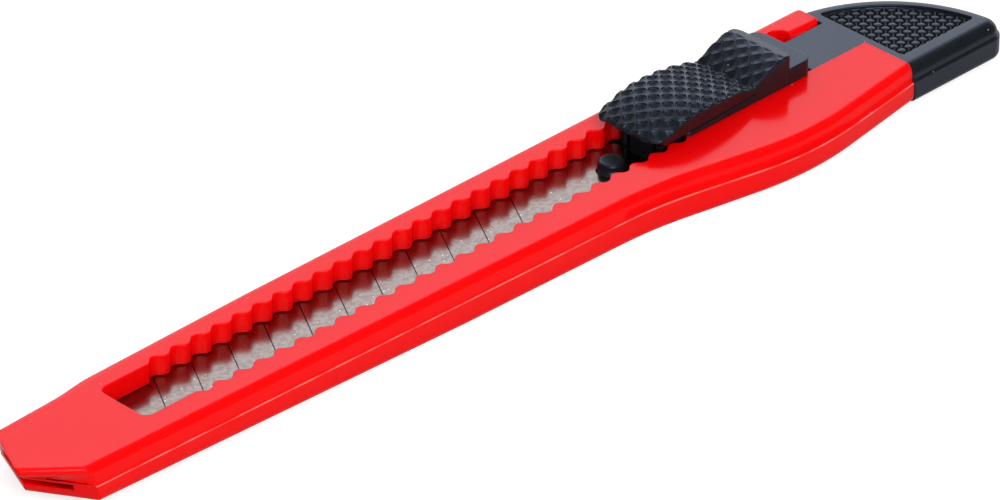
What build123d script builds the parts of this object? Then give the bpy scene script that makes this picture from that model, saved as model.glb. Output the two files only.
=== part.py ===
"""Snap-off utility knife for a 9 mm blade: handle, blade, blade holder, thumb slider and end cap.

X runs from the nose (-) to the tail (+), Y from the cutting edge's side (-) to the straight back (+), and Z
up from the underside. The origin is under the middle of the knife. Lengths are in millimetres. The blade is
drawn fully in. A station is a distance from the tip of the nose.
"""

import os
from math import ceil, floor, hypot, radians, tan

from build123d import *

# Handle
LENGTH = 134.11
BACK_Y = 9.6  # straight back of the upper half
THICKNESS = 5.05
SEAM_DROP = 2.05  # moulding seam, below the top face
SEAM_STEP = 0.25  # lower half stands this proud of the upper one
DRAFT = 5.0  # degrees, on the upper walls
TOP_ROUND = 1.0
BOTTOM_ROUND = 0.8
NOSE_LIFT = ((55.0, 0.0), (0.0, 0.95))  # the underside rises towards both ends, as (station, height)
TAIL_LIFT = ((88.0, 0.0), (133.9, 0.85))
HANDLE_END = 119.4  # station where the handle stops and the cap starts
NEAR_START = (0.0, -3.55)  # near side, as (station, y): almost straight, then swelling to a belly
BELLY_FOOT = (82.4, -5.97)
BELLY_FOOT_ROUND = 50.0
BELLY = (101.5, -10.18)
BELLY_ROUND = 38.0
CAP_NEAR_Y = -7.71
BACK_TAPER = (38.3, 9.6)  # the back draws in towards the nose
BACK_SHOULDER = ((15.9, 9.25), (12.1, 8.7))
BACK_SHOULDER_ROUND = 15.0
BACK_FRONT = (0.0, 7.65)
BACK_END_ROUND = 1.3

# Nose: two faces meeting at an apex; the top overhangs the seam
NOSE_TOP_APEX = (-0.6, 0.0)  # before its edges are rounded
NOSE_SEAM_APEX = (1.73, 2.3)
NOSE_TOP_NEAR = (6.19, -4.25)  # directions of the edges that run away from the apex
NOSE_SEAM_NEAR = (2.75, -4.39)
NOSE_TOP_FAR = (3.1, 6.36)
NOSE_SEAM_FAR = (2.61, 6.36)
NOSE_UNDERCUT = 0.6  # the lower half leans back by this much from the seam down
NOSE_NEAR_ROUND = 0.5  # along the top edge
NOSE_CORNER_ROUND = 0.9  # upright corner where the nose meets the back

# Slot with ratchet teeth
LANE_Y = 2.7  # centre line of slot, blade, holder and slider
SLOT_FRONT = 15.6
SLOT_HALF = 3.45
SLOT_CORNER = 0.9
TOOTH_PITCH = 2.814
FIRST_POCKET = 23.49
POCKETS = 25
FLANK_ANGLE = 42.8  # degrees between the slot's edge and the flank of a tooth
POCKET_APEX = 1.01  # depth of the V that a pocket would be with a sharp bottom
POCKET_ROUND = 0.845
CREST_ROUND = 0.8
SLOT_EDGE_ROUND = 0.4  # where the straight edges run into the first and the last pocket
NOTCH = (113.65, 6.4)  # centre of a round notch in the slot's far edge
NOTCH_RADIUS = 1.3
BAR_STEP = 0.42  # behind the notch a bar narrows the slot beside the cap's tongue
BAR_ROUND = 0.8  # along the bar's top edge
BAR_CHAMFER = 0.45  # on the upright corner where the bar ends

# Blade channel
CHANNEL_HALF = 4.7
CHANNEL_FLOOR = 1.3
PLATE = 2.4  # top plate over the channel
MOUTH_GAP = 0.55
MOUTH_START = 15.2  # from here to the nose the channel is only as high as the mouth

# Blade
BLADE_LENGTH = 80.0
BLADE_WIDTH = 9.0
BLADE_THICKNESS = 0.4
BLADE_TIP = 8.5  # station of the cutting point, blade drawn in
SEGMENT = 5.0
SCORES = 12
SCORE_ANGLE = 30.0
SCORE_DEPTH = 0.14
SCORE_WIDTH = 0.22
EDGE_GRIND = 1.1
BLADE_HOLE = 2.7
TAIL_CHAMFER = 1.2

# Blade holder
PEG_STATION = 84.1
PEG = 2.5
PEG_RISE = 1.25  # above the blade
HOLDER_START, HOLDER_END = 80.9, 110.4
HOLDER_HALF = 4.6
HOLDER_FRONT_ROUND = 2.0
NECK_START, NECK_END = 88.9, 109.2
NECK_HALF = 1.6
NECK_RISE = 1.1  # above the handle's top face
NECK_LIP = 0.25  # the neck's lip, which the slider clips over
NECK_LIP_INSET = 2.0
NECK_LIP_HEIGHT = 0.5
ARM_START, ARM_ROOT = 88.8, 102.0
ARM_OUTER = 3.0
ARM_INNER = 2.15
ARM_DROP = 0.35  # top of the arms, below the handle's top face
DETENT_REACH = 3.35
DETENT_STATION = 90.6
DETENT_HALF = 1.0  # half the length of a detent nose
PEG_CHAMFER = 0.2

# Slider; its heights are above the handle's top face
SLIDER_HALF = 4.15
SLIDER_FRONT = 86.2
FRONT_BOW = 0.45  # the front edge bows out by this much in the middle
FRONT_BOW_ROUND = 24.0
SADDLE_END = 107.7
SADDLE_ROUND = 1.2  # upright corners
HUMP = (93.4, 3.35)  # (station, height)
VALLEY = (101.5, 1.9)
PEAK = (106.0, 3.7)
FRONT_HEIGHT = 2.0
LEDGE_END = 110.7
LEDGE_HEIGHT = 1.95
LEDGE_ROUND = 1.0
LIP_UNDER = 1.4  # underside of the saddle's front lip
LIP_END = 88.2
SKIRT_FOOT = 0.6  # the saddle's side skirts start here
SKIRT_WALL = 0.8
SLIT_END = (101.9, 1.15)  # the slit between skirt and flange closes here
SLIT = 0.12
FLANGE = (91.5, 0.45)  # front end of the flange
CORE_HALF = 3.3
KNURL_X, KNURL_Y = 1.9, 2.0  # diagonals of the diamonds
KNURL_AT = 90.83  # station of one diamond's tip
KNURL_DEPTH = 0.42

# End cap
CAP_CENTRE = (116.26, -7.99)
CAP_RADIUS = 17.65
CAP_TIP_ROUND = 1.8
CAP_ROUND = 1.5
CAP_DROP = 0.4  # cap's top, below the handle's
CAP_FOOT = 0.35  # the cap's underside, above the middle of the handle's
HOLLOW_RADIUS = 15.75  # D-shaped hollow in the cap's top
HOLLOW_NEAR_Y = -5.0
HOLLOW_START = 120.7
HOLLOW_CORNER = 0.3
HOLLOW_DEPTH = 0.75
FIRST_STUD = (121.77, -3.83)  # rows of square studs cover the hollow's floor
STUD_PITCH = 1.09
STUD_SIDE = 0.85
STUD_HEIGHT = 0.4
TONGUE_START = 111.2
TONGUE_ROUND = 0.5

# Clearances
SLIDE_GAP = 0.1
SNUG_GAP = 0.05
CLIP_GAP = 0.01

TOP = THICKNESS
SEAM = TOP - SEAM_DROP
BLADE_TOP = TOP - PLATE - SNUG_GAP
BLADE_FOOT = BLADE_TOP - BLADE_THICKNESS
CLEAR = 12.0  # how far a cutter runs past what it cuts


def at(station):
    """X of a distance from the tip of the nose."""
    return station - LENGTH / 2


def outline(points, radii):
    """Closed face from (station, y) corners, each with its own rounding."""
    corners = [(at(station), y) for station, y in points]
    return make_face(FilletPolyline(*corners, radius=radii, close=True))


def block(stations, ys, zs):
    """Box between two stations, two ys and two zs."""
    x0, x1 = (at(station) for station in stations)
    size = (x1 - x0, ys[1] - ys[0], zs[1] - zs[0])
    middle = ((x0 + x1) / 2, sum(ys) / 2, sum(zs) / 2)
    return Pos(*middle) * Box(*size)


def lane_block(stations, half, zs):
    """Box across the lane's centre line."""
    return block(stations, (LANE_Y - half, LANE_Y + half), zs)


def raised(face, low, high):
    """Face pulled straight up from one height to another."""
    return extrude(Pos(0, 0, low) * face, high - low)


def side_form(points, base=0.0, half=LENGTH / 2):
    """Side view from (station, height over the base) corners, pulled out both ways across the lane."""
    corners = [(at(station), base + height) for station, height in points]
    form = extrude(Plane.XZ * make_face(Polyline(*corners, close=True)), half, both=True)
    return Pos(0, LANE_Y, 0) * form


# ---------------------------------------------------------------- moulded shell of handle and cap


def drafted(face, top):
    return extrude(Pos(0, 0, SEAM) * face, top - SEAM, taper=DRAFT)


def shell_form(face, foot, top, rounding):
    """The two moulded halves over one outline: drafted and rounded above the seam, proud of it below."""
    upper = drafted(face, top)
    upper = fillet(upper.faces().sort_by(Axis.Z)[-1].edges(), rounding)
    return upper, raised(offset(face, SEAM_STEP, kind=Kind.INTERSECTION), foot, SEAM)


def underside_wedge(foot, end):
    """Tool that lifts the underside in a straight ramp from its foot to beyond its end."""
    slope = (end[1] - foot[1]) / (end[0] - foot[0])
    far = end[0] + CLEAR * (1 if end[0] > foot[0] else -1)
    high = foot[1] + slope * (far - foot[0])
    return side_form([(foot[0], 0), (far, high), (far, -1), (foot[0], -1)])


def round_underside(lower):
    """Rounds the outer edge of the underside and of its ramps."""
    down = lower.faces().filter_by(lambda face: face.normal_at().Z < -0.9)
    edges = [edge for face in down for edge in face.edges()]
    outer = [e for e in edges if sum(e.is_same(other) for other in edges) == 1]
    return fillet(outer, BOTTOM_ROUND)


# ---------------------------------------------------------------- handle


def body():
    upper, lower = shell_form(handle_outline(), 0, TOP, TOP_ROUND)
    seam_nose = nose_face(NOSE_SEAM_APEX, NOSE_SEAM_NEAR, NOSE_SEAM_FAR)
    lower &= loft([Pos(NOSE_UNDERCUT, 0, 0) * seam_nose, Pos(0, 0, SEAM) * seam_nose], ruled=True)
    lower -= [underside_wedge(*lift) for lift in (NOSE_LIFT, TAIL_LIFT)]
    form = (upper & nosed_block(seam_nose)) + round_underside(lower)
    form -= block((HANDLE_END, LENGTH + CLEAR), (-LENGTH, LENGTH), (-1, TOP + 1))
    form -= raised(slot_outline(), BLADE_TOP, TOP + 1)
    form -= channel()
    return round_bar(form - back_corner())


def handle_outline():
    slope = (CAP_NEAR_Y - BELLY[1]) / (HANDLE_END - BELLY[0])
    tail_end = HANDLE_END + CLEAR
    corners = [
        (-CLEAR, NEAR_START[1]),
        BELLY_FOOT,
        BELLY,
        (tail_end, BELLY[1] + slope * (tail_end - BELLY[0])),
        (tail_end, BACK_Y),
        BACK_TAPER,
        *BACK_SHOULDER,
        (-CLEAR, BACK_FRONT[1]),
    ]
    radii = [0, BELLY_FOOT_ROUND, BELLY_ROUND, 0, 0, CLEAR, BACK_SHOULDER_ROUND, BACK_SHOULDER_ROUND, 0]
    return outline(corners, radii)


def nose_face(apex, near, far):
    """Everything behind the two nose edges, far out to the sides and the tail."""
    near_reach = (LENGTH / 4 + apex[1]) / -near[1]
    far_reach = (LENGTH / 4 - apex[1]) / far[1]
    corners = [
        (apex[0] + near[0] * near_reach, -LENGTH / 4),
        (LENGTH, -LENGTH / 4),
        (LENGTH, LENGTH / 4),
        (apex[0] + far[0] * far_reach, LENGTH / 4),
        apex,
    ]
    return outline(corners, [0] * len(corners))


def nosed_block(seam_nose):
    """Upper half with its nose cut, its upright far corner rounded and its near top edge softened."""
    top_nose = nose_face(NOSE_TOP_APEX, NOSE_TOP_NEAR, NOSE_TOP_FAR)
    nose = loft([Pos(0, 0, SEAM) * seam_nose, Pos(0, 0, TOP) * top_nose], ruled=True)
    form = drafted(handle_outline(), TOP) & nose
    middle = form.edges().filter_by_position(Axis.Z, SEAM + SEAM_STEP, TOP - SEAM_STEP)
    upright = middle.filter_by_position(Axis.Y, BACK_FRONT[1], BACK_Y).sort_by(Axis.X)[0]
    form = fillet(upright, NOSE_CORNER_ROUND)
    rim = form.faces().sort_by(Axis.Z)[-1].edges()
    front = rim.filter_by(lambda edge: edge.length > 2 * NOSE_CORNER_ROUND).sort_by(Axis.X)[:2]
    return fillet(front.sort_by(Axis.Y)[0], NOSE_NEAR_ROUND)


def slot_outline():
    """The slot: waves of teeth face each other across it, then a notch and a bar on the far side."""
    near, far = LANE_Y - SLOT_HALF, LANE_Y + SLOT_HALF
    bar = far - BAR_STEP
    tail = HANDLE_END + 1
    near_edge = [(station, near - depth) for station, depth, rounding in tooth_points()]
    far_edge = [(station, far + depth) for station, depth, rounding in reversed(tooth_points())]
    bar_edge = [
        (tail, bar + BAR_CHAMFER),
        (HANDLE_END, bar + BAR_CHAMFER),
        (HANDLE_END - BAR_CHAMFER, bar),
        (NOTCH[0], bar),
        (NOTCH[0], far),
    ]
    teeth = [rounding for station, depth, rounding in tooth_points()]
    corners = [(SLOT_FRONT, near), *near_edge, (tail, near), *bar_edge, *far_edge, (SLOT_FRONT, far)]
    radii = [SLOT_CORNER, *teeth, 0, *[0] * len(bar_edge), *teeth, SLOT_CORNER]
    return outline(corners, radii) + Pos(at(NOTCH[0]), NOTCH[1]) * Circle(NOTCH_RADIUS)


def tooth_points():
    """(station, depth into the handle, rounding) of the pockets and crests along one edge of the slot."""
    half, slope = TOOTH_PITCH / 2, tan(radians(FLANK_ANGLE))
    mouth = POCKET_APEX / slope
    points = [(FIRST_POCKET - mouth, 0, SLOT_EDGE_ROUND)]
    for i in range(POCKETS):
        centre = FIRST_POCKET + i * TOOTH_PITCH
        points.append((centre, POCKET_APEX, POCKET_ROUND))
        points.append((centre + half, POCKET_APEX - half * slope, CREST_ROUND))
    points[-1] = (centre + mouth, 0, SLOT_EDGE_ROUND)
    return points


def channel():
    """Blade and holder run in this, from the mouth in the nose to the open tail."""
    ceiling = TOP - PLATE
    run = lane_block((MOUTH_START, HANDLE_END + 1), CHANNEL_HALF, (CHANNEL_FLOOR, ceiling))
    mouth = lane_block((-CLEAR, MOUTH_START + 1), CHANNEL_HALF, (ceiling - MOUTH_GAP, ceiling))
    return run + mouth


def back_corner():
    """Tool that rounds the upright corner of the back where the cap starts."""
    x, y = at(HANDLE_END) - BACK_END_ROUND, BACK_Y + SEAM_STEP - BACK_END_ROUND
    square = Pos(x + CLEAR / 2, y + CLEAR / 2) * Rectangle(CLEAR, CLEAR)
    return raised(square - Pos(x, y) * Circle(BACK_END_ROUND), -1, TOP + 1)


def round_bar(form):
    """Rounds the top edge of the bar that narrows the slot's tail."""
    bar = LANE_Y + SLOT_HALF - BAR_STEP
    rim = form.edges().filter_by(Axis.X).filter_by_position(Axis.Z, TOP - 0.01, TOP + 0.01)
    return fillet(rim.filter_by_position(Axis.Y, bar - 0.01, bar + 0.01), BAR_ROUND)


# ---------------------------------------------------------------- blade


def blade():
    """Strip with slanted ends to its segments: both faces ground to the edge, scored on top."""
    near, far = LANE_Y - BLADE_WIDTH / 2, LANE_Y + BLADE_WIDTH / 2
    middle = (BLADE_TOP + BLADE_FOOT) / 2
    ground = near + EDGE_GRIND
    back = [(far, BLADE_FOOT), (far, BLADE_TOP)]
    section = Polyline((near, middle), (ground, BLADE_FOOT), *back, (ground, BLADE_TOP), close=True)
    end = Plane((at(BLADE_TIP), 0, 0), x_dir=(0, 1, 0), z_dir=(1, 0, 0))
    strip = extrude(end * make_face(section), BLADE_LENGTH)
    slant = BLADE_WIDTH * tan(radians(SCORE_ANGLE))
    tail = BLADE_TIP + BLADE_LENGTH
    corners = [
        (BLADE_TIP, near),
        (tail - TAIL_CHAMFER, near),
        (tail, near + TAIL_CHAMFER),
        (tail, far - TAIL_CHAMFER),
        (tail - TAIL_CHAMFER, far),
        (BLADE_TIP + slant, far),
    ]
    strip &= raised(outline(corners, [0] * len(corners)), 0, TOP)
    strip -= Pos(at(PEG_STATION), LANE_Y, middle) * Cylinder(BLADE_HOLE / 2, TOP)
    return strip - [score(i + 1) for i in range(SCORES)]


def score(number):
    """V-shaped tool for one snap line."""
    half = SCORE_WIDTH / 2
    profile = Polyline((-half, SCORE_DEPTH), (0, -SCORE_DEPTH), (half, SCORE_DEPTH), close=True)
    tool = extrude(Plane.XZ * make_face(profile), BLADE_WIDTH, both=True)
    centre = BLADE_TIP + number * SEGMENT + BLADE_WIDTH / 2 * tan(radians(SCORE_ANGLE))
    return Pos(at(centre), LANE_Y, BLADE_TOP) * Rot(0, 0, -SCORE_ANGLE) * tool


# ---------------------------------------------------------------- blade holder


def blade_holder():
    """Plate under the blade, peg through its hole, neck up through the slot and two detent arms."""
    foot = CHANNEL_FLOOR + SLIDE_GAP
    near, far = LANE_Y - HOLDER_HALF, LANE_Y + HOLDER_HALF
    corners = [(HOLDER_START, near), (HOLDER_END, near), (HOLDER_END, far), (HOLDER_START, far)]
    radii = [HOLDER_FRONT_ROUND, 0.5, 0.5, HOLDER_FRONT_ROUND]
    plate = raised(outline(corners, radii), foot, BLADE_FOOT)
    peg_top = BLADE_TOP + PEG_RISE
    peg = Pos(at(PEG_STATION), LANE_Y, (foot + peg_top) / 2) * Cylinder(PEG / 2, peg_top - foot)
    peg = chamfer(peg.edges().sort_by(Axis.Z)[-1], PEG_CHAMFER)
    neck = lane_block((NECK_START, NECK_END), NECK_HALF, (foot, TOP + NECK_RISE))
    bridge = lane_block((ARM_ROOT, NECK_END), ARM_OUTER, (foot, TOP - ARM_DROP))
    return plate + peg + neck + neck_lip(0) + detent_arm(-1) + detent_arm(1) + bridge


def neck_lip(gap):
    """Rail along both top edges of the neck, or with a gap the room that the slider has for it."""
    top = TOP + NECK_RISE
    stations = (NECK_START + NECK_LIP_INSET - gap, NECK_END - NECK_LIP_INSET + gap)
    return lane_block(stations, NECK_HALF + NECK_LIP + gap, (top - NECK_LIP_HEIGHT - gap, top + gap))


def detent_arm(side):
    """Springy finger beside the neck; its nose rides over the teeth."""
    inner, outer, reach = (LANE_Y + side * y for y in (ARM_INNER, ARM_OUTER, DETENT_REACH))
    root = ARM_ROOT + 1
    corners = [
        (root, inner),
        (ARM_START, inner),
        (ARM_START, outer),
        (DETENT_STATION - DETENT_HALF, outer),
        (DETENT_STATION, reach),
        (DETENT_STATION + DETENT_HALF, outer),
        (root, outer),
    ]
    plan = outline(corners, [0, 0.3, 0.3, 0.5, 0.3, 0.5, 0])
    return raised(plan, BLADE_TOP + SLIDE_GAP, TOP - ARM_DROP)


# ---------------------------------------------------------------- slider


def slider():
    """Knurled saddle, split by a slit from the flange that rides on the handle, with a ledge behind it."""
    near, far = LANE_Y - SLIDER_HALF, LANE_Y + SLIDER_HALF
    base, sky = TOP + SLIDE_GAP, TOP + 2 * PEAK[1]
    corner = SLIDER_FRONT + FRONT_BOW
    plan = [(corner, near), (SADDLE_END, near), (SADDLE_END, far), (corner, far), (SLIDER_FRONT, LANE_Y)]
    footprint = outline(plan, [SADDLE_ROUND] * 4 + [FRONT_BOW_ROUND])
    saddle = knurled_block(base) & raised(footprint, base, sky)
    ahead = SLIDER_FRONT - 1
    skirt = [(corner, LIP_UNDER), (LIP_END, SKIRT_FOOT), SLIT_END]
    saddle -= side_form([(ahead, LIP_UNDER), *skirt, (SLIT_END[0], 0), (ahead, 0)], TOP)
    saddle -= lane_block((ahead, FLANGE[0]), SLIDER_HALF - SKIRT_WALL, (TOP, TOP + LIP_UNDER))
    slit_foot = SLIT_END[1] - SLIT
    ledge_start = SLIT_END[0] + 2
    side = [
        (FLANGE[0], SLIDE_GAP),
        FLANGE,
        (SLIT_END[0], slit_foot),
        (ledge_start, slit_foot),
        (ledge_start, LEDGE_HEIGHT),
        (LEDGE_END, LEDGE_HEIGHT),
        (LEDGE_END, SLIDE_GAP),
    ]
    plan = [(FLANGE[0], near), (LEDGE_END, near), (LEDGE_END, far), (FLANGE[0], far)]
    flange = side_form(side, TOP) & raised(outline(plan, [LEDGE_ROUND] * 4), base, sky)
    core = lane_block((FLANGE[0] + SLIT, ledge_start), CORE_HALF, (base, TOP + LIP_UNDER))
    neck = lane_block((NECK_START, NECK_END), NECK_HALF + CLIP_GAP, (TOP, TOP + NECK_RISE + CLIP_GAP))
    return saddle + flange + core - neck - neck_lip(CLIP_GAP)


def saddle_height(station):
    """Height of the slider's top above the handle: a hump, a valley for the thumb and a rear peak."""
    station = min(max(station, SLIDER_FRONT), PEAK[0])
    if station > VALLEY[0]:
        share = (PEAK[0] - station) / (PEAK[0] - VALLEY[0])
        return PEAK[1] - (PEAK[1] - VALLEY[1]) * share**1.5
    end = (SLIDER_FRONT, FRONT_HEIGHT) if station < HUMP[0] else VALLEY
    share = (station - HUMP[0]) / (end[0] - HUMP[0])
    return HUMP[1] - (HUMP[1] - end[1]) * share**2


def knurled_block(foot):
    """Block under a grid of points that lie by turns on the tips and in the grooves of diamond pyramids."""
    step_x, step_y = KNURL_X / 2, KNURL_Y / 2
    first = floor((SLIDER_FRONT - KNURL_AT) / step_x) - 1
    last = ceil((SADDLE_END - KNURL_AT) / step_x) + 1
    reach = ceil(SLIDER_HALF / step_y)
    columns, rows = range(first, last + 1), range(-reach, reach + 1)

    def node(i, j):
        station = KNURL_AT + i * step_x
        height = TOP + saddle_height(station) - KNURL_DEPTH * ((i + j) % 2)
        return Vector(at(station), LANE_Y + j * step_y, height)

    def low(i, j):
        point = node(i, j)
        return Vector(point.X, point.Y, foot)

    faces = []
    for i in columns[:-1]:
        for j in rows[:-1]:
            ring = [node(i, j), node(i + 1, j), node(i + 1, j + 1), node(i, j + 1)]
            a, b, c, d = ring if (i + j) % 2 else ring[1:] + ring[:1]
            faces += [polygon(a, b, c), polygon(c, d, a)]
    for j in (-reach, reach):
        faces.append(polygon(*[node(i, j) for i in columns], low(last, j), low(first, j)))
    for i in (first, last):
        faces.append(polygon(*[node(i, j) for j in rows], low(i, reach), low(i, -reach)))
    faces.append(polygon(low(first, -reach), low(last, -reach), low(last, reach), low(first, reach)))
    return Solid(Shell(faces))


def polygon(*points):
    return Face(Polyline(*points, close=True).wire())


# ---------------------------------------------------------------- end cap


def end_cap():
    top = TOP - CAP_DROP
    face = cap_disc(CAP_RADIUS) & Pos(at(HANDLE_END), CAP_NEAR_Y + LENGTH / 2) * Rectangle(LENGTH, LENGTH)
    face = fillet(face.vertices().sort_by(Axis.X)[-1], CAP_TIP_ROUND)
    upper, lower = shell_form(face, CAP_FOOT, top, CAP_ROUND)
    start = HANDLE_END + SNUG_GAP
    form = upper + round_underside(lower)
    form &= block((start, LENGTH + CLEAR), (-LENGTH, LENGTH), (-1, TOP + 1))
    hollow_floor = top - HOLLOW_DEPTH
    form -= raised(hollow_outline(0), hollow_floor, TOP)
    return form + studs(hollow_floor) + plug(start, top)


def cap_disc(radius):
    return Pos(at(CAP_CENTRE[0]), CAP_CENTRE[1]) * Circle(radius)


def hollow_outline(inset):
    """The D of the hollow, drawn in all round by an inset."""
    corner = Pos(at(HOLLOW_START) + inset + LENGTH / 2, HOLLOW_NEAR_Y + inset + LENGTH / 2)
    face = cap_disc(HOLLOW_RADIUS - inset) & corner * Rectangle(LENGTH, LENGTH)
    return fillet(face.vertices(), HOLLOW_CORNER)


def studs(foot):
    """Rows of square studs, trimmed to the hollow's outline."""
    steps = [i * STUD_PITCH for i in range(ceil(HOLLOW_RADIUS / STUD_PITCH))]
    spots = [(FIRST_STUD[0] + along, FIRST_STUD[1] + across) for along in steps for across in steps]
    room = HOLLOW_RADIUS - STUD_SIDE / 2
    inside = [(s, y) for s, y in spots if hypot(s - CAP_CENTRE[0], y - CAP_CENTRE[1]) < room]
    squares = [Pos(at(s), y) * Rectangle(STUD_SIDE, STUD_SIDE) for s, y in inside]
    return raised(Sketch() + squares & hollow_outline(STUD_PITCH - STUD_SIDE), foot, foot + STUD_HEIGHT)


def plug(start, top):
    """Tongue that fills the slot's tail, over a plug that fills the channel's."""
    near = LANE_Y - SLOT_HALF + SLIDE_GAP
    far = LANE_Y + SLOT_HALF - BAR_STEP - SLIDE_GAP
    ceiling = BLADE_TOP
    tongue = block((TONGUE_START, start + 1), (near, far), (ceiling - 0.5, top))
    front = tongue.edges().filter_by(Axis.Y).sort_by(Axis.X)[:2]
    tongue = fillet(front.sort_by(Axis.Z)[-1], TONGUE_ROUND)
    height = (CHANNEL_FLOOR + SNUG_GAP, ceiling)
    return tongue + lane_block((TONGUE_START, start + 1), CHANNEL_HALF - SNUG_GAP, height)


os.makedirs("parts", exist_ok=True)
for make in (body, blade, blade_holder, slider, end_cap):
    export_step(make(), f"parts/{make.__name__}.step")
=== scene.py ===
# %% [markdown]
# # Snap-off utility knife
#
# A slim cutter for 9 mm snap-off blades: a glossy red handle with a toothed slot, a scored blade, and a black
# thumb slider, blade holder and end cap. The CAD model fixes every size and every moving body. Here each body
# gets the surface of the real thing: softened moulded edges, knurling under the thumb, studs in the cap, and
# its finish.

from math import ceil, cos, degrees, hypot, radians, sin, sqrt

import bmesh
import bpy
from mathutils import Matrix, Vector


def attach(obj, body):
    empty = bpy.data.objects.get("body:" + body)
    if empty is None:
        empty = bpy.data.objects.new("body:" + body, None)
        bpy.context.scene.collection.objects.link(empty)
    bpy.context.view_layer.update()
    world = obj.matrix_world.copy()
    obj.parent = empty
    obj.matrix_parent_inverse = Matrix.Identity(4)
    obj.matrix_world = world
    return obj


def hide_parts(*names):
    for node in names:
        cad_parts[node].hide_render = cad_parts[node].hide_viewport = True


MM = 0.001

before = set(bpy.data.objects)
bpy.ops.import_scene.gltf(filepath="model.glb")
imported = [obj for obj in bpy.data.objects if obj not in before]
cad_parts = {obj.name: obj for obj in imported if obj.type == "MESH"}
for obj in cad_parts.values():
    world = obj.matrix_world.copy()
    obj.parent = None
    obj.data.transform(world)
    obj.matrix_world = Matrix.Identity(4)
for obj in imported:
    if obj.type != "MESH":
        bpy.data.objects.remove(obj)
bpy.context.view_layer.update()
print("nodes:", ", ".join(sorted(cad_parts)))

# %% [markdown]
# ## Stations
#
# Places along a knife are easiest to read as stations: distances in millimetres from the nose, where 0 is the
# tip and 134 the tail. The model's X starts from the middle instead, so a station less MID gives X. Slot,
# blade, holder and slider share one lane, which lies a little towards the straight back.

# %% Middle of the knife, lane and top face
MID = 67.055
LANE_Y = 2.7
TOP = 5.05  # height of the handle's top face
print("the slider's lane is", LANE_Y, "mm off the middle, and its top face", TOP, "mm up")

# %% [markdown]
# ## Camera
#
# A long lens from one corner of the bench, a little above the knife. It could be aimed at the middle of the
# box, but the knife fills the view from corner to corner, so the aim is a point on the handle's top that
# centres it.

# %% Camera
AIM = Vector((-4.755, -3.25, TOP)) * MM
AZIMUTH, ELEVATION = radians(-44.85), radians(31.77)
DISTANCE = 845 * MM
LENS = 299.1
SENSOR = 36.0


def link(thing):
    bpy.context.scene.collection.objects.link(thing)
    return thing


def towards(azimuth, elevation):
    """Unit vector that points away from the knife at these angles."""
    level = cos(elevation)
    return Vector((sin(azimuth) * level, -cos(azimuth) * level, sin(elevation)))


def look(thing, place, target):
    """Puts a camera or a lamp at a place, facing its target."""
    thing.location = place
    thing.rotation_euler = (target - place).to_track_quat("-Z", "Y").to_euler()


camera = link(bpy.data.objects.new("camera", bpy.data.cameras.new("camera")))
camera.data.lens = LENS
camera.data.sensor_width = SENSOR
look(camera, AIM + towards(AZIMUTH, ELEVATION) * DISTANCE, AIM)
bpy.context.scene.camera = camera
print("camera at", [round(v / MM) for v in camera.location], "mm")

# %% [markdown]
# ## Colours and nodes
#
# Colours are written as the sRGB hex values that a paint program shows, and Blender works in linear light, so
# one function turns them. One more adds a node, sets it and links it, which keeps each material short enough
# to read.


# %% Helpers for materials
def linear(hex_colour):
    """Linear RGBA of a colour such as "#c81e1e"."""
    shares = [int(hex_colour[i : i + 2], 16) / 255 for i in (1, 3, 5)]
    return [s / 12.92 if s <= 0.04045 else ((s + 0.055) / 1.055) ** 2.4 for s in shares] + [1.0]


def add(tree, kind, settings=None, **sockets):
    """Adds a node. A socket is given by its name, with _ for a space, or as _0, _1 and so on by its number.
    It gets a value or another node's output.
    """
    node = tree.nodes.new("ShaderNode" + kind)
    for key, value in (settings or {}).items():
        setattr(node, key, value)
    for key, value in sockets.items():
        numbered = key[1:].isdigit()
        socket = node.inputs[int(key[1:]) if numbered else key.replace("_", " ")]
        if isinstance(value, bpy.types.NodeSocket):
            tree.links.new(value, socket)
        else:
            socket.default_value = value
    return node


def new_material(name):
    """An empty material and its node tree."""
    material = bpy.data.materials.new(name)
    material.use_nodes = True
    material.node_tree.nodes.clear()
    return material, material.node_tree


def output(tree, shader):
    add(tree, "OutputMaterial", Surface=shader)


print("pure red is", [round(v, 3) for v in linear("#ff0000")])

# %% [markdown]
# ## Studio
#
# The knife lies on a white bench before a white backdrop. Glossy plastic shows whatever stands in the mirror
# direction: the level faces mirror the backdrop and turn pale, while the rounded edges mirror the open, darker
# room in front and keep their full colour. The world that gloss sees is therefore white behind the knife, pale
# straight overhead, and dim elsewhere. The camera sees plain white all round.
#
# More light could make the bench white too, but it would wash out the knife. Light Path tells a material or
# the world what kind of ray asks, so the bench and the world can look white and still light the knife gently.


# %% What the camera sees
def seen(tree, mirrored):
    """1 where the camera sees the surface, straight or through something clear, and a share of 1 in a mirror."""
    path = add(tree, "LightPath")
    gloss = add(tree, "Math", {"operation": "MULTIPLY"}, _0=path.outputs["Is Glossy Ray"], _1=mirrored)
    sight = add(tree, "Math", {"operation": "MAXIMUM"}, _0=path.outputs["Is Camera Ray"],
                _1=gloss.outputs[0])
    sight = add(tree, "Math", {"operation": "MAXIMUM"}, _0=sight.outputs[0],
                _1=path.outputs["Is Transmission Ray"])
    return sight.outputs[0]


print("sight, gloss and clear rays are told apart")

# %% Bench
BENCH_HALF = 3.0  # m
BENCH_DROP = 0.02 * MM  # keeps the bench clear of the knife's underside
BENCH_WHITE = "#b8b8b8"
BENCH_LIFT = 0.72  # glow that brings the bench up to white
MIRRORED_LIFT = 0.24  # share of that glow which shows in gloss

bench_paint, tree = new_material("matt_white_bench")
paint = add(tree, "BsdfDiffuse", Color=linear(BENCH_WHITE))
lift = add(tree, "Math", {"operation": "MULTIPLY"}, _0=seen(tree, MIRRORED_LIFT), _1=BENCH_LIFT)
glow = add(tree, "Emission", Strength=lift.outputs[0])
output(tree, add(tree, "AddShader", _0=paint.outputs[0], _1=glow.outputs[0]).outputs[0])

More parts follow.
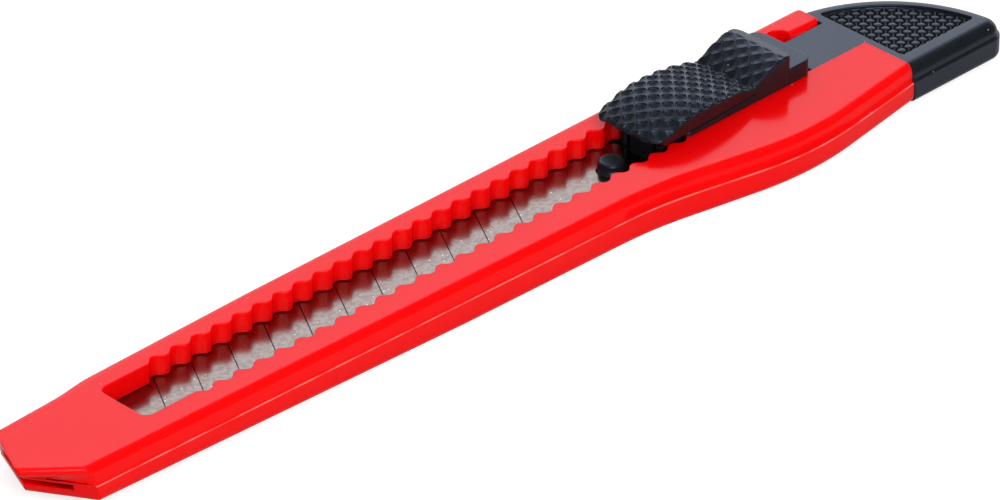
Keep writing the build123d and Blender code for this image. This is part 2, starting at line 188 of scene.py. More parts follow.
mesh = bpy.data.meshes.new("bench")
signs = ((-1, -1), (1, -1), (1, 1), (-1, 1))
corners = [(x * BENCH_HALF, y * BENCH_HALF, -BENCH_DROP) for x, y in signs]
mesh.from_pydata(corners, [], [(0, 1, 2, 3)])
mesh.materials.append(bench_paint)
bench = link(bpy.data.objects.new("bench", mesh))
print("bench", 2 * BENCH_HALF, "m wide")

# %% Room
ROOM_LIGHT = 0.58  # what lights the knife from all round
BACKDROP_AZIMUTH = radians(140)
BACKDROP_GLOW = 1.0
BACKDROP_EDGE = (0.35, 0.8)  # cosines of the angle off its middle, where it starts and is full
OPEN_ROOM_GLOW = 0.08
CEILING_GLOW = 0.7
CEILING_EDGE = (0.85, 0.97)  # sines of the height, where it starts and is full

world = bpy.data.worlds.new("white_room")
bpy.context.scene.world = world
world.use_nodes = True
world.node_tree.nodes.clear()
tree = world.node_tree
sight = add(tree, "TexCoord").outputs["Generated"]
behind = add(tree, "VectorMath", {"operation": "DOT_PRODUCT"}, _0=sight,
             _1=towards(BACKDROP_AZIMUTH, 0))
backdrop = add(tree, "MapRange", {"interpolation_type": "SMOOTHSTEP"}, Value=behind.outputs["Value"],
               From_Min=BACKDROP_EDGE[0], From_Max=BACKDROP_EDGE[1],
               To_Min=OPEN_ROOM_GLOW, To_Max=BACKDROP_GLOW)
height = add(tree, "SeparateXYZ", _0=sight).outputs["Z"]
ceiling = add(tree, "MapRange", {"interpolation_type": "SMOOTHSTEP"}, Value=height,
              From_Min=CEILING_EDGE[0], From_Max=CEILING_EDGE[1], To_Min=0.0, To_Max=CEILING_GLOW)
brighter = add(tree, "Math", {"operation": "MAXIMUM"}, _0=backdrop.outputs[0], _1=ceiling.outputs[0])
path = add(tree, "LightPath")
mirrored = add(tree, "Mix", {"data_type": "FLOAT"}, _0=path.outputs["Is Glossy Ray"], _2=ROOM_LIGHT,
               _3=brighter.outputs[0])
strength = add(tree, "Mix", {"data_type": "FLOAT"}, _0=seen(tree, 0.0), _2=mirrored.outputs[0], _3=1.0)
sky = add(tree, "Background", Color=linear("#ffffff"), Strength=strength.outputs[0])
add(tree, "OutputWorld", Surface=sky.outputs[0])
print("room light", ROOM_LIGHT, "and backdrop", BACKDROP_GLOW)

# %% [markdown]
# ## Lamps
#
# Two large softboxes could be replaced by the world alone, but then nothing would throw a shadow. The one in
# front lights the sides that face the camera. The one behind is cooler and weaker, and stands where the level
# faces mirror it, which gives the plastic its pale sheen.

# %% Softboxes
bpy.context.scene.view_settings.view_transform = "Standard"


def soft_lamp(name, azimuth, elevation, distance, size, watts, colour):
    lamp = bpy.data.lights.new(name, "AREA")
    lamp.size = size
    lamp.energy = watts
    lamp.color = linear(colour)[:3]
    place = towards(radians(azimuth), radians(elevation)) * distance
    look(link(bpy.data.objects.new(name, lamp)), place, Vector())
    print(name, watts, "W,", size, "m wide,", distance, "m away")


soft_lamp("front_softbox", -25, 38, distance=1.2, size=0.8, watts=9.5, colour="#ffffff")
soft_lamp("back_softbox", 135, 32, distance=1.3, size=0.8, watts=2.4, colour="#dfeaff")

# %% [markdown]
# ## Dust
#
# Glossy plastic and oiled steel hold a few grains of dust, which show as pale specks. They could be scattered as
# tiny spheres, but as a pattern in the colour they cost nothing. A Voronoi texture splits space into cells. Near
# the middle of each cell lies one grain.


# %% Patterns by real size
def per_metre(millimetres):
    """Scale of a noise texture whose features lie this far apart."""
    return 1 / (millimetres * MM)


def dusty(tree, place, spacing, grain, clean, dust):
    """A colour with a grain of dust of about this size in each cell of this spacing, both in mm."""
    cells = add(tree, "TexVoronoi", Vector=place, Scale=per_metre(spacing))
    speck = add(tree, "MapRange", Value=cells.outputs["Distance"], From_Min=grain / spacing,
                From_Max=0.5 * grain / spacing)
    return add(tree, "MixRGB", Fac=speck.outputs[0], Color1=clean, Color2=linear(dust)).outputs[0]


print("features 1 mm apart have scale", per_metre(1))

# %% [markdown]
# ## Red polystyrene
#
# The handle is injection moulded in high-gloss polystyrene. The mould was polished, so the surface is nearly
# a mirror with a slight waviness where the plastic shrank, a few hairline scratches from the drawer, and a
# grain too fine to see as relief, which only dulls the reflection. A plain glossy red would mirror the room as
# one clean sheet, so noise in the bump and the roughness breaks it up. Polystyrene has an IOR of 1.59. Red
# light travels a millimetre or more inside it, so shaded walls glow red instead of turning black: that is the
# subsurface part of the shader.

# %% Glossy moulded polystyrene
RED = "#fa0508"
RED_DUST = "#ff9088"
SHRINK_WAVE = 5.0  # mm between the soft hollows of the skin
GRAIN = 0.35  # mm, drawn coarser than the real grain so that it shows
SCRATCH_SPACING = 0.45  # mm between streaks, of which only the strongest show
SCRATCH_STRETCH = 20  # how much longer than wide they are
RED_DUST_SPACING, RED_DUST_GRAIN = 3.0, 0.11  # mm
GLOW_DEPTH = 1.6  # mm that red light travels inside
POLYSTYRENE_IOR = 1.59
RED_SHINE = 0.12  # specular level, which is 0.5 by default: the white room would wash out the red

red_polystyrene, tree = new_material("glossy_moulded_polystyrene_red")
place = add(tree, "TexCoord").outputs["Object"]
wave = add(tree, "TexNoise", Vector=place, Scale=per_metre(SHRINK_WAVE), Detail=1.0)
grain = add(tree, "TexNoise", Vector=place, Scale=per_metre(GRAIN), Detail=2.0)
turned = add(tree, "Mapping", Vector=place, Rotation=(0.2, 0.1, 0.7), Scale=(1.0, 1 / SCRATCH_STRETCH, 1.0))
streak = add(tree, "TexNoise", Vector=turned.outputs[0], Scale=per_metre(SCRATCH_SPACING), Detail=0.0)
scratch = add(tree, "MapRange", Value=streak.outputs[0], From_Min=0.74, From_Max=0.78)
skin = add(tree, "Bump", Height=wave.outputs[0], Strength=0.12, Distance=0.1 * MM)
skin = add(tree, "Bump", Height=grain.outputs[0], Strength=0.05, Distance=0.02 * MM,
           Normal=skin.outputs[0])
skin = add(tree, "Bump", {"invert": True}, Height=scratch.outputs[0], Strength=0.3, Distance=0.01 * MM,
           Normal=skin.outputs[0])
shine = add(tree, "MapRange", Value=wave.outputs[0], To_Min=0.12, To_Max=0.2)
colour = dusty(tree, place, RED_DUST_SPACING, RED_DUST_GRAIN, linear(RED), RED_DUST)
shell = add(tree, "BsdfPrincipled", Base_Color=colour, Roughness=shine.outputs[0], IOR=POLYSTYRENE_IOR,
            Specular_IOR_Level=RED_SHINE, Subsurface_Weight=0.6, Subsurface_Radius=(1.0, 0.05, 0.05),
            Subsurface_Scale=GLOW_DEPTH * MM, Normal=skin.outputs[0])
output(tree, shell.outputs[0])
print(red_polystyrene.name, "has", len(tree.nodes), "nodes")

# %% [markdown]
# ## Painted seam highlight
#
# The seam's ledge has a rounded rim that catches the light as a fine bright line. This material paints that line
# in as a painted highlight: a paler, matt red in patches. A second material is simpler than a mask in the first
# one, because it keeps to faces that are easy to name: the seam's ledge.

# %% Painted highlight for the seam's ledge
# paler red in patches: a painted highlight where the ledge's rounded rim catches the light
GLINT_DIM, GLINT_PALE = "#fa2a26", "#ff6e66"
GLINT_PATCH = 2.5  # mm

painted_glint_polystyrene, tree = new_material("painted_glint_polystyrene_red")
place = add(tree, "TexCoord").outputs["Object"]
patches = add(tree, "TexNoise", Vector=place, Scale=per_metre(GLINT_PATCH), Detail=3.0)
glint_share = add(tree, "MapRange", Value=patches.outputs[0], From_Min=0.35, From_Max=0.6)
tint = add(tree, "MixRGB", Fac=glint_share.outputs[0], Color1=linear(GLINT_DIM), Color2=linear(GLINT_PALE))
shell = add(tree, "BsdfPrincipled", Base_Color=tint.outputs[0], Roughness=0.4, IOR=POLYSTYRENE_IOR)
output(tree, shell.outputs[0])
print(painted_glint_polystyrene.name, "has", len(tree.nodes), "nodes")

# %% [markdown]
# ## Black ABS
#
# Slider, blade holder and cap are moulded in ABS from a spark-eroded mould. Its fine matt grain spreads the
# reflection, so level faces turn blue-grey under a white room while upright ones stay nearly black. Roughness
# alone would spread it evenly, and the bump of the grain makes it sparkle a little. ABS has an IOR of 1.54.

# %% Semi-gloss moulded ABS
BLACK, GREYER = "#15171a", "#1b1d21"
SHEEN = "#bcd4ff"
BLACK_DUST = "#a4a8ac"
ABS_IOR = 1.54
BLACK_SHINE = 0.4  # specular level
SPARK_GRAIN = 0.12  # mm, drawn coarser than the real grain so that it shows
SKIN_CLOUD = 6.0  # mm between greyer and glossier patches
BLACK_DUST_SPACING, BLACK_DUST_GRAIN = 1.8, 0.09  # mm

black_abs, tree = new_material("semi_gloss_moulded_abs_black")
place = add(tree, "TexCoord").outputs["Object"]
grain = add(tree, "TexNoise", Vector=place, Scale=per_metre(SPARK_GRAIN), Detail=2.0)
cloud = add(tree, "TexNoise", Vector=place, Scale=per_metre(SKIN_CLOUD), Detail=2.0)
tint = add(tree, "MixRGB", Fac=cloud.outputs[0], Color1=linear(BLACK), Color2=linear(GREYER))
skin = add(tree, "Bump", Height=grain.outputs[0], Strength=0.15, Distance=0.02 * MM)
shine = add(tree, "MapRange", Value=cloud.outputs[0], To_Min=0.22, To_Max=0.34)
colour = dusty(tree, place, BLACK_DUST_SPACING, BLACK_DUST_GRAIN, tint.outputs[0], BLACK_DUST)
shell = add(tree, "BsdfPrincipled", Base_Color=colour, Roughness=shine.outputs[0], IOR=ABS_IOR,
            Specular_IOR_Level=BLACK_SHINE, Specular_Tint=linear(SHEEN), Normal=skin.outputs[0])
output(tree, shell.outputs[0])
print(black_abs.name, "has", len(tree.nodes), "nodes")

# %% [markdown]
# ## Blade steel
#
# The blade is cold-rolled carbon steel, ground on both faces. The wheel leaves fine lines across the strip,
# which stretch every reflection, and a film of oil gives it a warm, cloudy tint. An anisotropic shader could
# stretch the reflections too, but stretched noise in the bump also shows the lines themselves.

# %% Ground carbon steel
STEEL, OILED = "#8c8078", "#7d726a"
STEEL_DUST = "#e2dcd2"
GRIND_LINE = 0.12  # mm between grinding lines, drawn coarser than real ones so that they show
GRIND_STRETCH = 25  # how much longer than wide they are
OIL_CLOUD = 0.5  # mm
STEEL_DUST_SPACING, STEEL_DUST_GRAIN = 0.7, 0.08  # mm

blade_steel, tree = new_material("ground_carbon_steel")
place = add(tree, "TexCoord").outputs["Object"]
along = add(tree, "Mapping", Vector=place, Scale=(1.0, 1 / GRIND_STRETCH, 1.0))
lines = add(tree, "TexNoise", Vector=along.outputs[0], Scale=per_metre(GRIND_LINE), Detail=3.0)
oil = add(tree, "TexNoise", Vector=place, Scale=per_metre(OIL_CLOUD), Detail=4.0)
film = add(tree, "MapRange", Value=oil.outputs[0], From_Min=0.4, From_Max=0.62)
tint = add(tree, "MixRGB", Fac=film.outputs[0], Color1=linear(STEEL), Color2=linear(OILED))
colour = dusty(tree, place, STEEL_DUST_SPACING, STEEL_DUST_GRAIN, tint.outputs[0], STEEL_DUST)
skin = add(tree, "Bump", Height=lines.outputs[0], Strength=0.12, Distance=0.01 * MM)
shine = add(tree, "MapRange", Value=oil.outputs[0], To_Min=0.14, To_Max=0.24)
shell = add(tree, "BsdfPrincipled", Base_Color=colour, Metallic=1.0, Roughness=shine.outputs[0],
            Normal=skin.outputs[0])
output(tree, shell.outputs[0])
print(blade_steel.name, "has", len(tree.nodes), "nodes")

# %% [markdown]
# ## Moulded pieces with softened edges
#
# No moulded edge is truly sharp: a radius of a tenth or two of a millimetre catches the light as a fine
# bright line. The CAD solids leave these out. Handle, blade holder and cap are therefore copies of their solids
# with the convex edges bevelled, which is quicker and truer than modelling every rim again.

# %% Finish, body and shading of a piece
WELD = 0.002 * MM  # points closer than this are one


def settle(piece, body, finish):
    """Gives a piece its finish and clean shading, and lets it ride on its body."""
    piece.data.materials.clear()
    piece.data.materials.append(finish)
    shading = piece.modifiers.new("shading", "WEIGHTED_NORMAL")
    shading.keep_sharp = True
    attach(piece, body)


# %% Copies with rounded edges
SHARP = radians(33)
SLIVER = 0.02 * MM**2  # faces of a rounding are smaller than this, and their edges stay as they are
FLAT = radians(0.5)  # faces that meet at less than this become one


def soften(form, width):
    """Rounds the convex edges of a mesh by a width and shades it smooth."""
    bmesh.ops.remove_doubles(form, verts=form.verts, dist=WELD)
    bmesh.ops.dissolve_limit(form, angle_limit=FLAT, verts=form.verts, edges=form.edges)
    rims = [e for e in form.edges if e.is_manifold and e.calc_face_angle_signed() > SHARP
            and min(face.calc_area() for face in e.link_faces) > SLIVER]
    bmesh.ops.bevel(form, geom=rims, offset=width, segments=3, profile=0.5, affect="EDGES",
                    clamp_overlap=False)
    for face in form.faces:
        face.smooth = True
    return len(rims)


def moulded_copy(node, name, width, body, finish, change=None):
    """Puts a copy of a CAD node with rounded edges in the node's place. A change to its form comes first."""
    piece = link(bpy.data.objects.new(name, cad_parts[node].data.copy()))
    form = bmesh.new()
    form.from_mesh(piece.data)
    if change:
        change(form)
    rims = soften(form, width)
    form.to_mesh(piece.data)
    form.free()
    settle(piece, body, finish)
    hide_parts(node)
    print(name, "has", len(piece.data.polygons), "faces and", rims, "rounded edges")
    return piece


print("edges sharper than", round(degrees(SHARP)), "degrees are rounded")

# %% [markdown]
# ## Handle
#
# The two halves of the mould meet in a seam that runs round the handle, where the lower half stands a little
# proud. The rounded rim of that narrow ledge catches the light as a bright line, which is painted on its faces
# as a paler red: a painted highlight. The ledge lies just below the seam's height and looks up and outwards,
# which is how its faces are found.

# %% Handle with a painted highlight on its seam
HANDLE_EDGE = 0.16 * MM
SEAM = 3.0 * MM
SLACK = 0.01  # mm by which a height read from a mesh may be off
LEDGE_DEPTH = 0.17 * MM
LEDGE_SLOPE = (0.1, 0.8)  # how far a face of the ledge looks up, from 0 for upright to 1 for level

handle = moulded_copy("body", "handle_shell", HANDLE_EDGE, "handle", red_polystyrene)
# the second material is the painted highlight on the seam's ledge
handle.data.materials.append(painted_glint_polystyrene)
for face in handle.data.polygons:
    heights = [handle.data.vertices[i].co.z for i in face.vertices]
    at_seam = SEAM - LEDGE_DEPTH < min(heights) and max(heights) < SEAM + SLACK * MM
    if at_seam and LEDGE_SLOPE[0] < face.normal.z < LEDGE_SLOPE[1]:
        face.material_index = 1
# faces of the ledge that carry the painted highlight
print("scuffed faces:", sum(face.material_index for face in handle.data.polygons))

# %% [markdown]
# ## Blade holder
#
# The holder carries the blade on a peg, and its neck comes up through the slot to the slider. The CAD draws
# the peg slimmer than the real one, which is pushed hard against the rear of the blade's hole, so the copy's
# peg is widened and set back.

# %% Blade holder with a fuller peg
HOLDER_EDGE = 0.12 * MM
PEG_AT = (84.1 - MID, LANE_Y)
PEG_REACH = 1.3  # from the peg's middle to past its side
PEG_FOOT = 2.0  # mm over the bench, below the blade
PEG_WIDER = 1.14
PEG_MOVE = (0.3, -0.08)  # mm


def fuller_peg(form):
    """Widens the peg and sets it back."""
    for v in form.verts:
        dx, dy = v.co.x / MM - PEG_AT[0], v.co.y / MM - PEG_AT[1]
        if hypot(dx, dy) < PEG_REACH and v.co.z / MM > PEG_FOOT:
            v.co.x = (PEG_AT[0] + PEG_MOVE[0] + PEG_WIDER * dx) * MM
            v.co.y = (PEG_AT[1] + PEG_MOVE[1] + PEG_WIDER * dy) * MM


moulded_copy("blade_holder", "blade_carrier", HOLDER_EDGE, "carriage", black_abs,
             change=fuller_peg)

# %% [markdown]
# ## Slabs with modelled tops
#
# The thumb slider and the floor of the cap's hollow carry patterns of small cells and domes. A pattern could be
# a bump in the material, but it would vanish at the outline. A grid of points whose heights come from a function
# gives real relief, and one helper can build every piece of this kind: a slab between two curved ends, with one
# function for its top and one for its foot.
#
# Plans and heights from here on are in millimetres. A point turns into metres as it goes into the mesh.


# %% Rows of points and rounded rims
RIM_SHARES = (0.0, 0.08, 0.3, 0.65)  # rows over a rim, close together at its steep edge


def spread(low, high, count, rim):
    """Places from low to high, even in the middle and close together over a rim at both ends."""
    ends = [rim * share for share in RIM_SHARES]
    room = high - low - 2 * rim
    middle = [low + rim + room * i / count for i in range(count + 1)]
    return [low + e for e in ends] + middle + [high - e for e in reversed(ends)]


def rolled(depth, radius):
    """How far a rim with this radius has dropped at a depth in from the edge."""
    inward = max(radius - depth, 0.0)
    return radius - sqrt(max(radius**2 - inward**2, 0.0))


print("a rim of 1 mm drops", round(rolled(0.5, 1.0), 3), "mm half way in")


# %% Points of a slab
def slab_points(sides, ends, top, foot, step, rim, lean):
    """Points of a slab's top and foot, and how many rows they make."""
    middle = (sides[0] + sides[1]) / 2
    columns = ceil((ends[1](middle) - ends[0](middle)) / step)
    rows = spread(*sides, ceil((sides[1] - sides[0]) / step), rim)
    upper, lower = [], []
    for y in rows:
        first, last = ends[0](y), ends[1](y)
        for x in spread(first, last, columns, min(rim, (last - first) / 4)):
            inset = min(x - first, last - x, y - sides[0], sides[1] - y)
            leant = lean(x, y)
            upper.append(Vector((x, leant, top(x, leant) - rolled(inset, rim))) * MM)
            lower.append(Vector((x, y, foot(x, y))) * MM)
    return upper, lower, len(rows)


print("every rim is", len(RIM_SHARES), "rows deep")


# %% Faces of a slab
def slab_faces(count, deep):
    """Faces over a slab's points: its top, its foot, and a wall round both."""
    wide = count // deep
    faces = []
    for j in range(deep - 1):
        for i in range(wide - 1):
            a = j * wide + i
            faces.append((a, a + 1, a + wide + 1, a + wide))
            faces.append((count + a, count + a + wide, count + a + wide + 1, count + a + 1))
    loop = list(range(wide)) + [j * wide + wide - 1 for j in range(1, deep)]
    loop += [(deep - 1) * wide + i for i in range(wide - 2, -1, -1)]
    loop += [j * wide for j in range(deep - 2, 0, -1)]
    for a, b in zip(loop, loop[1:] + loop[:1]):
        faces.append((count + a, count + b, b, a))
    return faces


print("a slab of 3 by 3 points has", len(slab_faces(9, 3)), "faces")

# %% Slab
CREASE = radians(50)  # edges sharper than this stay sharp in the shading


def slab(name, sides, ends, top, foot, step, rim, body, lean=lambda x, y: y):
    """Block of black plastic over a plan: two sides, curved ends as functions of y, and top and foot as
    functions of the place. The top may lean out over the foot.
    """
    upper, lower, deep = slab_points(sides, ends, top, foot, step, rim, lean)
    faces = slab_faces(len(upper), deep)
    mesh = bpy.data.meshes.new(name)
    mesh.from_pydata(upper + lower, [], faces)
    mesh.shade_smooth()
    mesh.set_sharp_from_angle(angle=CREASE)
    piece = link(bpy.data.objects.new(name, mesh))
    settle(piece, body, black_abs)
    print(name, "has", len(faces), "faces")
    return piece


print("a slab's edges sharper than", round(degrees(CREASE)), "degrees stay sharp")


# %% Slopes and curved ends
def between(x, start, end):
    """Height at x on the straight line between two (x, height) points."""
    share = min(max((x - start[0]) / (end[0] - start[0]), 0.0), 1.0)
    return start[1] + (end[1] - start[1]) * share


def fall(value, start, end):
    """1 before start, 0 after end, and a smooth slope between."""
    share = min(max((end - value) / (end - start), 0.0), 1.0)
    return share * share * (3 - 2 * share)


def rounded_end(x, bow, corner, sides, direction):
    """An end of a slab as a function of y: bowed out by a radius, with rounded corners."""
    middle, half = (sides[0] + sides[1]) / 2, (sides[1] - sides[0]) / 2

    def place(y):
        off = abs(y - middle)
        back = off**2 / (2 * bow) + rolled(half - off, corner)
        return x + direction * back

    return place


print("half way down a slope,", between(0.5, (0, 1), (1, 0)), "or", fall(0.5, 0, 1), "is left")

# %% [markdown]
# ## Thumb slider
#
# The saddle under the thumb has a hump, a valley, a steep rear slope and a peak. The hump is crowned across,
# and its sides lean out past the skirt below. The knurling is a grid of square cells set on their corners,
# between narrow ribs. Each cell sinks in steps, the marks of the cutter that made the mould. A slit parts the
# skirt from the springy flange below.
#
# The saddle could be sculpted by hand, but a height worked out for each point keeps its sizes, and every cell
# comes out the same.

# %% Plan and side view of the saddle
SLIDER_SIDES = (LANE_Y - 4.15, LANE_Y + 4.15)
HUMP, VALLEY, PEAK = (93.4 - MID, 3.45), (101.5 - MID, 1.9), (106.0 - MID, 3.7)
FRONT, FRONT_HEIGHT = 86.2 - MID, 2.0
REAR = 107.7 - MID
REAR_DROP = 0.35  # how far the saddle falls from its peak to its rear edge


def saddle_line(x):
    """Side view of the saddle: its height over the handle."""
    if x > PEAK[0]:
        return PEAK[1] - REAR_DROP * ((x - PEAK[0]) / (REAR - PEAK[0])) ** 2
    if x > VALLEY[0]:
        share = max(PEAK[0] - x, 0.0) / (PEAK[0] - VALLEY[0])
        return PEAK[1] - (PEAK[1] - VALLEY[1]) * share**1.5
    end = (FRONT, FRONT_HEIGHT) if x < HUMP[0] else VALLEY
    return HUMP[1] - (HUMP[1] - end[1]) * ((x - HUMP[0]) / (end[0] - HUMP[0])) ** 2


print("hump", HUMP[1], "valley", VALLEY[1], "peak", PEAK[1], "mm over the handle")

# %% Crown and overhang of the hump
OVERHANG = 0.5  # the hump's sides lean out past the skirt's foot
CROWN = 0.45  # how far the hump's sides lie below its middle
CORNER_DROP = 0.3  # and how much more at its front corners
HUMP_END = (95.0 - MID, VALLEY[0])  # crown and overhang fade out over this stretch
CORNER_END = (88.0 - MID, 91.5 - MID)
HALF_WIDTH = SLIDER_SIDES[1] - LANE_Y


def overhang(x, y):
    """Where a point of the skirt's foot comes up to on the hump, which is wider."""
    return y + (y - LANE_Y) / HALF_WIDTH * OVERHANG * fall(x, *HUMP_END)


def crown(x, y):
    """How far the hump has fallen away from its middle line."""
    drop = CROWN * fall(x, *HUMP_END) + CORNER_DROP * fall(x, *CORNER_END)
    return drop * (abs(y - LANE_Y) / (HALF_WIDTH + OVERHANG)) ** 3


print("the hump is", 2 * (HALF_WIDTH + OVERHANG), "mm wide")

# %% Knurling
KNURL = (1.9, 2.0)  # diagonals of a cell
KNURL_AT = (91.12 - MID, LANE_Y + 0.29)  # middle of one cell
KNURL_DEPTH, REAR_KNURL_DEPTH = 0.34, 0.16
SHALLOWER = (VALLEY[0] - 0.8, VALLEY[0] + 0.6)  # the depth changes over this stretch
KNURL_END = (PEAK[0] - 0.1, PEAK[0] + 0.4)
PLAIN_EDGE = 0.25  # along the near side
# Each step of a cell: its share of the depth, and where its wall ends and starts, from 0 in the middle of
# the cell to 1 at its side. The first step is square, and the others are round.
SQUARE_STEP, RING_STEP, PIT_STEP = (0.5, 0.81, 0.92), (0.3, 0.54, 0.64), (0.2, 0.25, 0.35)


def cell(x, y):
    """Share of the knurling's depth, from 0 on the ribs to 1 at the middle of a cell, in three steps."""
    u, v = (x - KNURL_AT[0]) / KNURL[0], (y - KNURL_AT[1]) / KNURL[1]
    a, b = (abs(w - round(w)) * 2 for w in (u + v, u - v))
    square = (a**3 + b**3) ** (1 / 3)
    ring = sqrt(a * a + b * b)
    steps = ((square, SQUARE_STEP), (ring, RING_STEP), (ring, PIT_STEP))
    return sum(share * fall(reach, start, end) for reach, (share, start, end) in steps)


def knurl_depth(x, y):
    """Deep in front, shallow on the rear slope, and nothing at the near edge and behind the peak."""
    depth = REAR_KNURL_DEPTH + (KNURL_DEPTH - REAR_KNURL_DEPTH) * fall(x, *SHALLOWER)
    border = fall(overhang(x, SLIDER_SIDES[0]) + PLAIN_EDGE - y, 0.0, PLAIN_EDGE)
    return depth * border * fall(x, *KNURL_END)


print("a cell's middle lies", round(KNURL_DEPTH * cell(*KNURL_AT), 2), "mm below the ribs")

# %% [markdown]
# The saddle's underside is a thin lip in front, where it reaches over the slot. Behind that, skirts hang down
# at the sides, and behind the skirts the saddle and the flange are one block.

# %% Saddle
SLIT_END = 101.9 - MID
FLANGE = 91.5 - MID  # where the flange starts
LIP_UNDER = 1.4  # underside of the front lip, over the handle
LIP_START, LIP_END = 86.65 - MID, 88.2 - MID
SKIRT_FOOT, SKIRT_END = 0.6, 1.15  # the skirt's foot rises towards the slit's end
SKIRT_INSIDE = 3.35  # from the lane to the skirt's inner face
BLOCK_FOOT = 0.5
FRONT_BOW, STRAIGHT = 24.0, 400.0  # radii
SADDLE_CORNER = 1.2
SADDLE_RIM = 0.26
SADDLE_STEP = 0.06  # fine enough for a cell's steps


def saddle_top(x, y):
    return TOP + saddle_line(x) - crown(x, y) - knurl_depth(x, y) * cell(x, y)


def saddle_foot(x, y):
    """The underside: a thin lip in front, skirts at the sides, and a block behind the slit."""
    if x > SLIT_END:
        return TOP + BLOCK_FOOT
    if x < FLANGE and abs(y - LANE_Y) < SKIRT_INSIDE:
        return TOP + LIP_UNDER
    if x < LIP_END:
        return TOP + between(x, (LIP_START, LIP_UNDER), (LIP_END, SKIRT_FOOT))
    return TOP + between(x, (LIP_END, SKIRT_FOOT), (SLIT_END, SKIRT_END))


ends = (rounded_end(FRONT, FRONT_BOW, SADDLE_CORNER, SLIDER_SIDES, 1),
        rounded_end(REAR, STRAIGHT, SADDLE_CORNER, SLIDER_SIDES, -1))
saddle = slab("slider_saddle", SLIDER_SIDES, ends, saddle_top, saddle_foot, SADDLE_STEP, SADDLE_RIM,
              "carriage", lean=overhang)
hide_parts("slider")

# %% [markdown]
# The flange lies on the handle, thin in front and thicker behind, and ends in a low ledge behind the saddle.
# Its sides stay a hair inside the saddle's, because faces that lie in one another flicker or turn black.

# %% Flange and ledge
LEDGE_START, LEDGE_END = 103.9 - MID, 110.7 - MID
LEDGE_HEIGHT = 1.95
CORE_HALF, CORE_HEIGHT = 3.3, 1.4  # the block between the skirts
CORE_INSET = 0.12  # from the flange's front edge to the block's
FLANGE_THIN, FLANGE_THICK = 0.45, 1.03
FLANGE_FOOT = 0.1
FLANGE_INSET = 0.03
FLANGE_CORNER, LEDGE_CORNER = 1.0, 1.4
FLANGE_RIM = 0.16
FLANGE_STEP = 0.2


def flange_top(x, y):
    if x > LEDGE_START:
        return TOP + LEDGE_HEIGHT
    if abs(y - LANE_Y) < CORE_HALF and x > FLANGE + CORE_INSET:
        return TOP + CORE_HEIGHT
    return TOP + between(x, (FLANGE, FLANGE_THIN), (SLIT_END, FLANGE_THICK))


def flange_foot(x, y):
    return TOP + FLANGE_FOOT


sides = (SLIDER_SIDES[0] + FLANGE_INSET, SLIDER_SIDES[1] - FLANGE_INSET)
ends = (rounded_end(FLANGE, STRAIGHT, FLANGE_CORNER, sides, 1),
        rounded_end(LEDGE_END, STRAIGHT, LEDGE_CORNER, sides, -1))
flange = slab("slider_flange", sides, ends, flange_top, flange_foot, FLANGE_STEP, FLANGE_RIM, "carriage")
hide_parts("slider")

# %% [markdown]
# ## End cap
#
# The cap's D-shaped hollow is floored with rows of small domed studs. The CAD has them as plain squares, which
# bevelling would leave flat on top. So the copy of the cap loses them, and a slab with domes fills the
# hollow's floor and runs a little under its rim.

# %% Cap without its square studs
CAP_EDGE = 0.14 * MM
CAP_CENTRE = (116.26 - MID, -7.99)  # middle of the D's arc
HOLLOW_RADIUS = 15.75
HOLLOW_FLOOR = 3.9
HOLLOW_START, HOLLOW_NEAR = 120.7 - MID, -5.0  # the D's straight sides
STUD_TOP = 4.3


def clear_hollow(form):
    """Takes the studs and the floor out of the hollow and closes it again with one plain face."""
    inner = []
    for face in form.faces:
        heights = [v.co.z / MM for v in face.verts]
        reach = max(hypot(v.co.x / MM - CAP_CENTRE[0], v.co.y / MM - CAP_CENTRE[1]) for v in face.verts)
        level = HOLLOW_FLOOR - SLACK < min(heights) and max(heights) < STUD_TOP + SLACK
        behind_start = face.calc_center_median().x / MM > HOLLOW_START
        if level and reach < HOLLOW_RADIUS + SLACK and behind_start:
            inner.append(face)
    bmesh.ops.delete(form, geom=inner, context="FACES")
    bmesh.ops.remove_doubles(form, verts=form.verts, dist=WELD)
    edge = [e for e in form.edges if e.is_boundary]
    bmesh.ops.holes_fill(form, edges=edge, sides=0)
    print("cleared", len(inner), "faces, closed", len(edge), "edges")


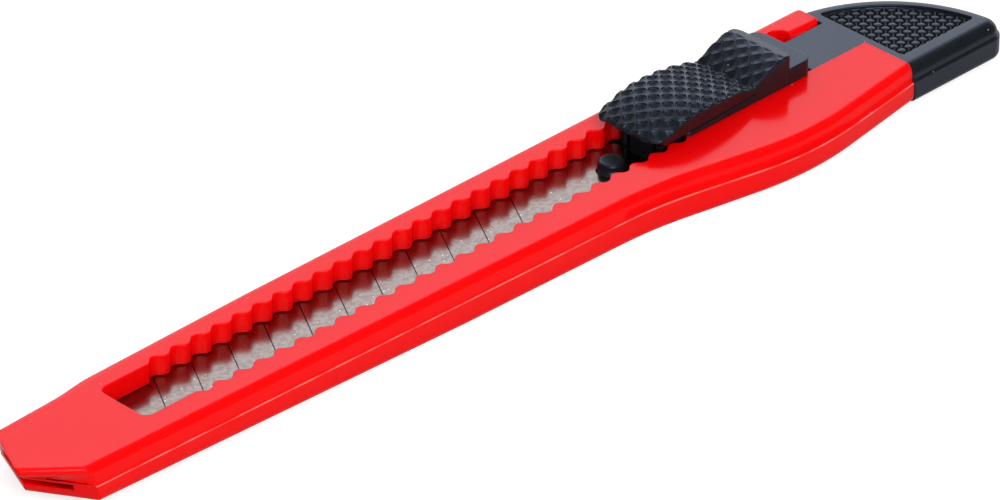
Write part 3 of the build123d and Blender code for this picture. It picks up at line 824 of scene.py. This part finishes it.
moulded_copy("end_cap", "tail_cap", CAP_EDGE, "cap", black_abs, change=clear_hollow)

# %% Domed studs
STUD_AT = (121.77 - MID, -3.83)  # middle of one stud
STUD_PITCH = 1.09
STUD_HEIGHT = 0.42
STUD_SIDE = (0.76, 0.96)  # top and foot of a stud's sides, where 1 is half way to the next stud
STUD_CROWN = 0.3  # share of the height that the dome falls by half way to the next stud
FLOOR_LIFT = 0.02  # keeps the slab's floor over the cap's plain face
STUD_FOOT = 0.1  # how far the slab reaches down into the cap
STUD_STEP, STUD_RIM = 0.08, 0.05
UNDER_RIM = 0.25  # how far the slab runs on under the rim
UNDER_CORNER = 0.1  # and past the far corner of the D


def hollow_start(y):
    return HOLLOW_START - UNDER_RIM


def hollow_end(y):
    reach = HOLLOW_RADIUS + UNDER_RIM
    return CAP_CENTRE[0] + sqrt(reach**2 - (y - CAP_CENTRE[1]) ** 2)


def stud_top(x, y):
    across = ((x - STUD_AT[0]) / STUD_PITCH, (y - STUD_AT[1]) / STUD_PITCH)
    a, b = (abs(w - round(w)) * 2 for w in across)
    square = (a**4 + b**4) ** 0.25
    dome = fall(square, *STUD_SIDE) * (1 - STUD_CROWN * (a * a + b * b))
    return HOLLOW_FLOOR + FLOOR_LIFT + STUD_HEIGHT * dome


def stud_foot(x, y):
    return HOLLOW_FLOOR - STUD_FOOT


corner_y = CAP_CENTRE[1] + sqrt(HOLLOW_RADIUS**2 - (HOLLOW_START - CAP_CENTRE[0]) ** 2)
sides = (HOLLOW_NEAR - UNDER_RIM, corner_y + UNDER_CORNER)
slab("cap_studs", sides, (hollow_start, hollow_end), stud_top, stud_foot, STUD_STEP, STUD_RIM, "cap")

# %% [markdown]
# ## Blade
#
# The blade is a scored strip with a ground edge, and the CAD already models both. It could be copied and
# softened like the rest, but a blade's edges stay as sharp as the grinding wheel leaves them. So it keeps its
# own mesh and only gets its steel.

# %% Blade
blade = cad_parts["blade"]
blade.data.materials.clear()
blade.data.materials.append(blade_steel)
print("the blade keeps its CAD shape of", len(blade.data.polygons), "faces")
